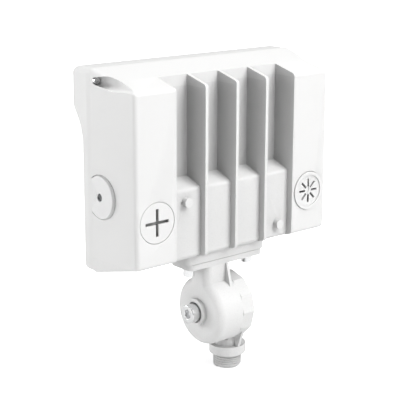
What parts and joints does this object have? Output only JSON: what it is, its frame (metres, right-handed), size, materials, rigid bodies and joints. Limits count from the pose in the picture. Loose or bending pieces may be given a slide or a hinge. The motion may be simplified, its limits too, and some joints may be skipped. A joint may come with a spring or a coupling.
{
  "type": "floodlight",
  "caption": "Outdoor floodlight: finned cast head with a glazed front frame and brow on a tilting knuckle with a hollow threaded stem.",
  "frame": {"origin": "on the axis of the stem's thread, at the collar's underside", "axes": "+Z along the stem up to the knuckle, -Y where the lens faces, X along the tilt axis"},
  "size_m": [0.184, 0.0709, 0.2295],
  "materials": {
    "powder_coat": "satin white powder coat on cast aluminium",
    "lens_glass": "clear toughened glass",
    "gasket_rubber": "matt black silicone rubber",
    "pale_rubber": "pale grey silicone rubber",
    "bright_sheet": "bright anodised reflector sheet",
    "board_mask": "white solder mask on a metal-core board",
    "phosphor": "yellow phosphor under clear silicone",
    "pad_rubber": "soft grey thermal pad",
    "screw_steel": "zinc-plated steel",
    "driver_case": "matt dark moulded case, potted",
    "membrane": "white porous film",
    "button_plastic": "satin pale grey moulded plastic",
    "eye_plastic": "smoked clear plastic"
  },
  "bodies": {
    "stem": {"lower_arm": "powder_coat", "pivot_screw": "screw_steel", "lock_washer": "screw_steel", "pivot_nut": "screw_steel"},
    "head": {"upper_arm": "powder_coat", "flange_gasket": "pale_rubber", "flange_bolts": "screw_steel", "housing": "powder_coat", "front_frame": "powder_coat", "lens": "lens_glass", "lens_gasket": "gasket_rubber", "housing_gasket": "gasket_rubber", "reflector": "bright_sheet", "led_board": "board_mask", "leds": "phosphor", "thermal_pad": "pad_rubber", "board_screws": "screw_steel", "driver": "driver_case", "driver_screws": "screw_steel", "frame_screws": "screw_steel", "cover_plug": "powder_coat", "plug_gasket": "gasket_rubber", "vent_plug": "powder_coat", "vent_gasket": "gasket_rubber", "vent_membrane": "membrane", "photocell": "button_plastic", "photocell_window": "eye_plastic", "photocell_nut": "screw_steel"}
  },
  "joints": [
    {"name": "head_tilt", "type": "hinge", "parent": "stem", "child": "head", "pos_m": [0, 0, 0.0372], "axis": [1, 0, 0], "range_deg": [-90, 90]}
  ]
}
